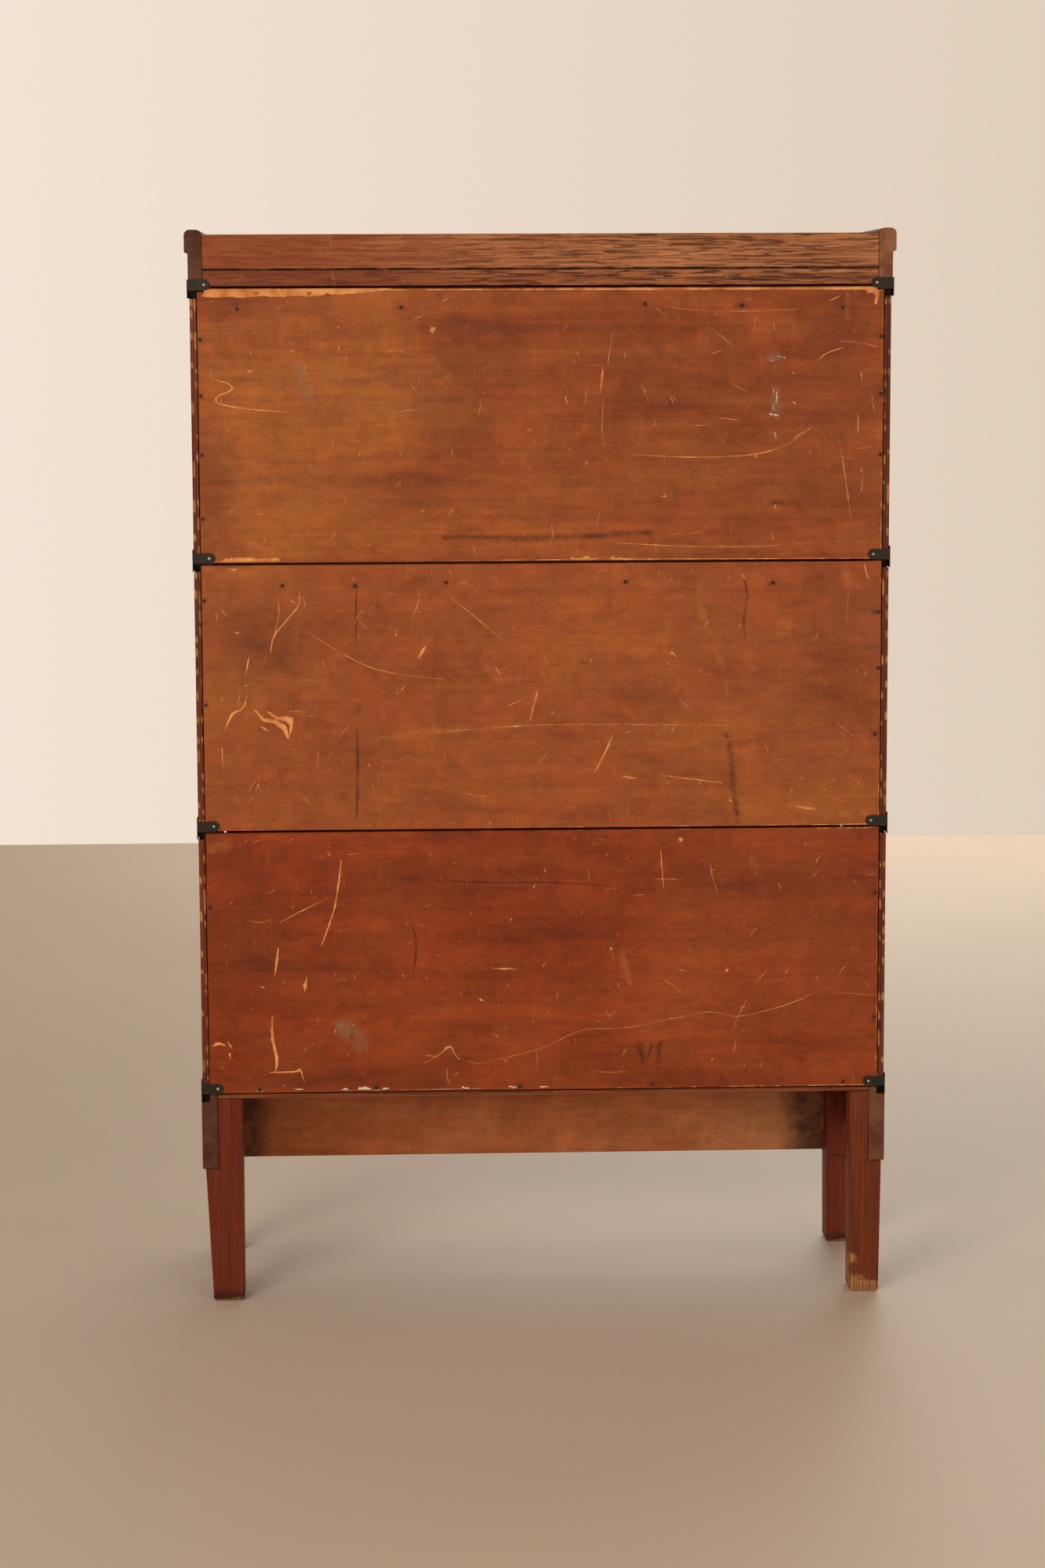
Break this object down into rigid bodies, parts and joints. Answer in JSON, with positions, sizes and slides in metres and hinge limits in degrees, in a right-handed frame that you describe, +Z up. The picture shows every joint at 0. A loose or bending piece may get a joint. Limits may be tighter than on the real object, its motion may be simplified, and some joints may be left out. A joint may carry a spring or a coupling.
{
  "type": "sectional barrister bookcase",
  "caption": "Sectional bookcase on a leg base: stacked book sections with glazed doors that lift and slide in over the books, steel side bands and a moulded cap.",
  "frame": {"origin": "on the floor, at the middle of the bounding box", "axes": "+Z up, the doors face -Y, the boarded back faces +Y, +X is to the left of someone looking at the back"},
  "size_m": [0.8754, 0.3058, 1.3472],
  "materials": {
    "side_wood": "worn red-brown varnish on oak",
    "shelf_wood": "plain brown oak, thin finish",
    "back_panel_wood": "red-brown stained veneer, scratched",
    "cap_wood": "dull brown oak with open pores",
    "base_wood": "worn red-brown varnish on oak",
    "door_wood": "varnished brown oak",
    "band_steel": "dark japanned steel, rubbed",
    "carriage_steel": "dark oiled steel",
    "knob_brass": "aged brass",
    "door_glass": "clear old glass"
  },
  "bodies": {
    "cabinet": {"base_front_apron": "base_wood", "base_dust_panel": "shelf_wood", "base_side_rail_left": "base_wood", "base_leg_rear_left": "base_wood", "base_leg_front_left": "base_wood", "base_corner_block_left": "shelf_wood", "base_side_rail_right": "base_wood", "base_leg_rear_right": "base_wood", "base_leg_front_right": "base_wood", "base_corner_block_right": "shelf_wood", "lower_shelf": "shelf_wood", "lower_back_panel": "back_panel_wood", "lower_side_left": "side_wood", "lower_band_left": "band_steel", "lower_side_right": "side_wood", "lower_band_right": "band_steel", "middle_shelf": "shelf_wood", "middle_back_panel": "back_panel_wood", "middle_side_left": "side_wood", "middle_band_left": "band_steel", "middle_side_right": "side_wood", "middle_band_right": "band_steel", "upper_shelf": "shelf_wood", "upper_back_panel": "back_panel_wood", "upper_side_left": "side_wood", "upper_band_left": "band_steel", "upper_side_right": "side_wood", "upper_band_right": "band_steel", "cap_back_board_lower": "cap_wood", "cap_back_board_upper": "cap_wood", "cap_top_panel": "cap_wood", "cap_front_moulding": "cap_wood", "cap_side_rail_left": "cap_wood", "cap_band_left": "band_steel", "cap_side_rail_right": "cap_wood", "cap_band_right": "band_steel"},
    "lower_carriage": {"lower_door_carriage": "carriage_steel"},
    "lower_door": {"lower_door_top_rail": "door_wood", "lower_door_bottom_rail": "door_wood", "lower_door_glass": "door_glass", "lower_door_stile_left": "door_wood", "lower_door_knob_left": "knob_brass", "lower_door_stile_right": "door_wood", "lower_door_knob_right": "knob_brass"},
    "middle_carriage": {"middle_door_carriage": "carriage_steel"},
    "middle_door": {"middle_door_top_rail": "door_wood", "middle_door_bottom_rail": "door_wood", "middle_door_glass": "door_glass", "middle_door_stile_left": "door_wood", "middle_door_knob_left": "knob_brass", "middle_door_stile_right": "door_wood", "middle_door_knob_right": "knob_brass"},
    "upper_carriage": {"upper_door_carriage": "carriage_steel"},
    "upper_door": {"upper_door_top_rail": "door_wood", "upper_door_bottom_rail": "door_wood", "upper_door_glass": "door_glass", "upper_door_stile_left": "door_wood", "upper_door_knob_left": "knob_brass", "upper_door_stile_right": "door_wood", "upper_door_knob_right": "knob_brass"}
  },
  "joints": [
    {"name": "lower_door_slide", "type": "slide", "parent": "cabinet", "child": "lower_carriage", "axis": [0, 1, 0], "range_m": [0, 0.247]},
    {"name": "lower_door_lift", "type": "hinge", "parent": "lower_carriage", "child": "lower_door", "pos_m": [0, -0.1241, 0.5905], "axis": [-1, 0, 0], "range_deg": [0, 90]},
    {"name": "middle_door_slide", "type": "slide", "parent": "cabinet", "child": "middle_carriage", "axis": [0, 1, 0], "range_m": [0, 0.247]},
    {"name": "middle_door_lift", "type": "hinge", "parent": "middle_carriage", "child": "middle_door", "pos_m": [0, -0.1241, 0.9255], "axis": [-1, 0, 0], "range_deg": [0, 90]},
    {"name": "upper_door_slide", "type": "slide", "parent": "cabinet", "child": "upper_carriage", "axis": [0, 1, 0], "range_m": [0, 0.247]},
    {"name": "upper_door_lift", "type": "hinge", "parent": "upper_carriage", "child": "upper_door", "pos_m": [0, -0.1241, 1.2605], "axis": [-1, 0, 0], "range_deg": [0, 90]}
  ]
}
